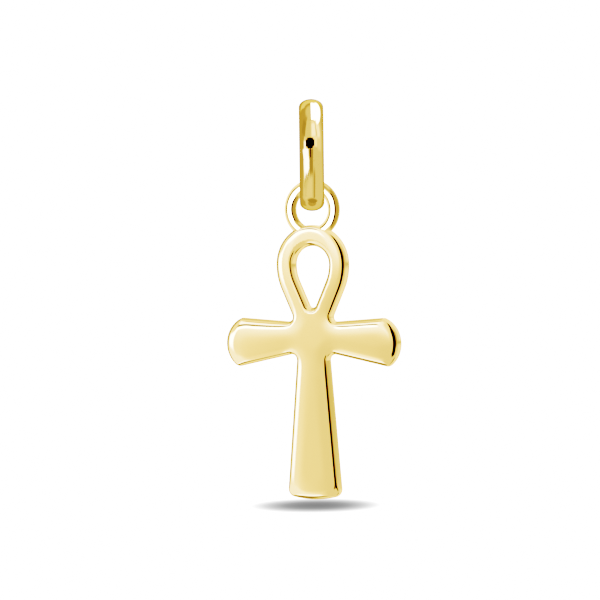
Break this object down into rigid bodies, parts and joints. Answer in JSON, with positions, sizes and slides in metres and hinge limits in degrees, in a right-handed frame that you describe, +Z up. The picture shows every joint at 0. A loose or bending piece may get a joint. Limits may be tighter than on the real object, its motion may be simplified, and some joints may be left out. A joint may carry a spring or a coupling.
{
  "type": "ankh cross pendant",
  "caption": "Polished gold ankh cross pendant: flat looped cross with flared arms and a soldered top ring, hanging from a pear-shaped bail.",
  "frame": {"origin": "top inside of the bail, where the chain bears", "axes": "+Z up as the pendant hangs, -Y out of the cross's face, +X towards its right arm as seen from the front; the bail is turned 25.5 degrees about Z from the cross"},
  "size_m": [0.0136, 0.0058, 0.0282],
  "materials": {
    "gold": null
  },
  "bodies": {
    "bail": {"bail": "gold"},
    "cross": {"ankh": "gold"}
  },
  "joints": [
    {"name": "side_swing", "type": "hinge", "parent": "bail", "child": "cross", "pos_m": [0, 0, -0.00688], "axis": [0, 1, 0], "range_deg": [-80, 80]}
  ]
}
